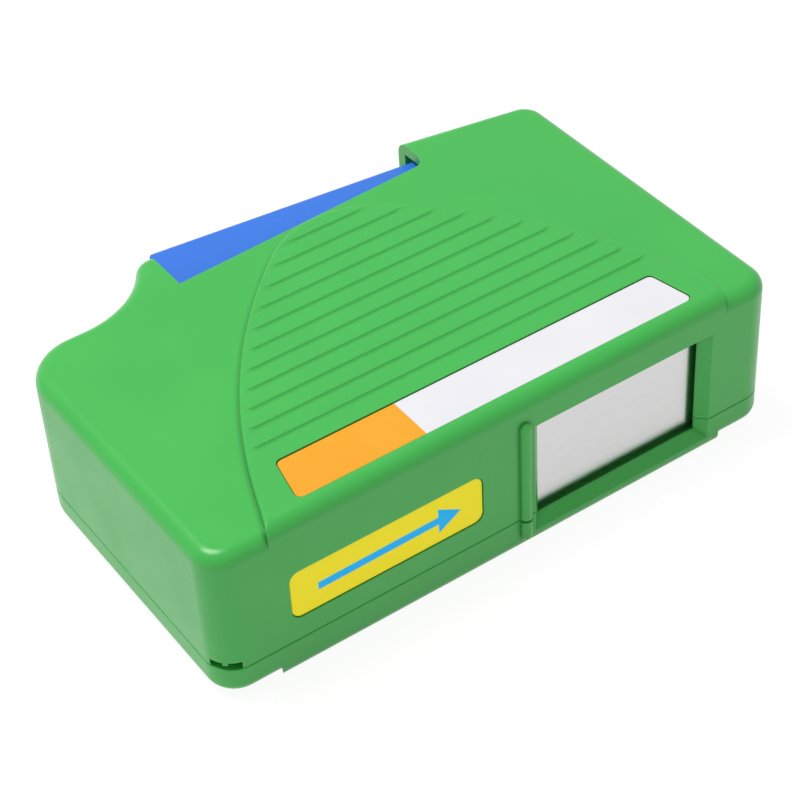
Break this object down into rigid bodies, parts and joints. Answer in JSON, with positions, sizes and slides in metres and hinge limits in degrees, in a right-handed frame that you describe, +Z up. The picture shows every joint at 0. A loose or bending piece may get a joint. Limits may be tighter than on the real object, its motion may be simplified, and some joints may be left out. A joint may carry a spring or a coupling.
{
  "type": "fibre optic cleaning cassette",
  "caption": "Two-piece case with a shuttered window at the front; pressing the rear lever slides the shutter aside and winds on the cleaning tape behind it.",
  "frame": {"origin": "centre of the bottom panel, halfway along the case and halfway between its front face and its rear peak", "axes": "+X along the case towards its window end, +Y from the window face to the lever, +Z up from the bottom panel to the top panel"},
  "size_m": [0.128, 0.0873, 0.0374],
  "materials": {
    "green_shell": "fine satin moulding",
    "green_shell_lower": "fine satin moulding",
    "blue_lever": "fine satin moulding",
    "yellow_label": "printed film",
    "top_label": "printed film, orange and white",
    "shutter_steel": "satin rolled sheet",
    "ground_steel": "ground",
    "zinc_steel": "zinc plated",
    "spring_steel": "drawn wire",
    "gear_plastic": "natural acetal",
    "reel_plastic": "natural moulding",
    "dark_plastic": "satin moulding",
    "foam_pad": "soft foam rubber",
    "tape": "lint-free woven microfibre",
    "used_tape": "lint-free woven microfibre, used",
    "felt": "felt"
  },
  "bodies": {
    "casing": {"upper_shell": "green_shell", "lower_shell": "green_shell_lower", "case_screws": "zinc_steel", "arrow_label": "yellow_label", "top_label": "top_label", "lever_pin": "ground_steel", "gear_shaft": "ground_steel", "platen_frame": "dark_plastic", "platen_pad": "foam_pad", "frame_screws": "zinc_steel", "left_roller_pin": "ground_steel", "right_roller_pin": "ground_steel", "supply_shaft": "ground_steel", "supply_felt_washer": "felt", "take_up_shaft": "ground_steel", "tape_run": "tape", "lever_spring": "spring_steel"},
    "press_lever": {"lever": "blue_lever"},
    "drive_gear": {"drive_gear": "gear_plastic"},
    "shutter": {"shutter_plate": "shutter_steel", "shutter_slider": "dark_plastic", "shutter_rivets": "ground_steel"},
    "clutch_gear": {"clutch_gear": "gear_plastic"},
    "take_up": {"take_up_reel": "reel_plastic", "used_tape_roll": "used_tape", "one_way_clutch": "spring_steel"},
    "supply": {"supply_reel": "reel_plastic", "fresh_tape_roll": "tape"},
    "left_roller": {"left_roller": "gear_plastic"},
    "right_roller": {"right_roller": "gear_plastic"}
  },
  "joints": [
    {"name": "lever_press", "type": "hinge", "parent": "casing", "child": "press_lever", "pos_m": [0.038, 0.0324, 0.0187], "axis": [0, 0, 1], "range_deg": [0, 10.5], "stiffness_Nm_per_rad": 0.4, "springref_deg": -17.19, "deforming": ["lever_spring"]},
    {"name": "drive_gear_turn", "type": "hinge", "parent": "casing", "child": "drive_gear", "pos_m": [-0.00425, -0.0102, 0.0063], "axis": [0, 0, 1], "range_deg": [-95, 0]},
    {"name": "shutter_slide", "type": "slide", "parent": "casing", "child": "shutter", "axis": [-1, 0, 0], "range_m": [0, 0.0414]},
    {"name": "clutch_gear_turn", "type": "hinge", "parent": "casing", "child": "clutch_gear", "pos_m": [0.0352, -0.0036, 0.0052], "axis": [0, 0, 1], "range_deg": [0, 158]},
    {"name": "supply_turn", "type": "hinge", "parent": "casing", "child": "supply", "pos_m": [-0.0375, -0.0056, 0.0195], "axis": [0, 0, 1], "continuous": true},
    {"name": "take_up_turn", "type": "hinge", "parent": "casing", "child": "take_up", "pos_m": [0.0352, -0.0036, 0.0195], "axis": [0, 0, 1], "continuous": true},
    {"name": "left_roller_turn", "type": "hinge", "parent": "casing", "child": "left_roller", "pos_m": [0.0026, -0.0311, 0.0195], "axis": [0, 0, 1], "continuous": true},
    {"name": "right_roller_turn", "type": "hinge", "parent": "casing", "child": "right_roller", "pos_m": [0.0513, -0.0311, 0.0195], "axis": [0, 0, 1], "continuous": true}
  ],
  "couplings": [
    {"joint": "drive_gear_turn", "follows": "lever_press", "ratio": -9},
    {"joint": "shutter_slide", "follows": "lever_press", "m_per_rad": 0.225},
    {"joint": "clutch_gear_turn", "follows": "lever_press", "ratio": 15},
    {"joint": "take_up_turn", "follows": "supply_turn", "ratio": 1.5455},
    {"joint": "left_roller_turn", "follows": "supply_turn", "ratio": 5.6667},
    {"joint": "right_roller_turn", "follows": "supply_turn", "ratio": 5.6667}
  ]
}
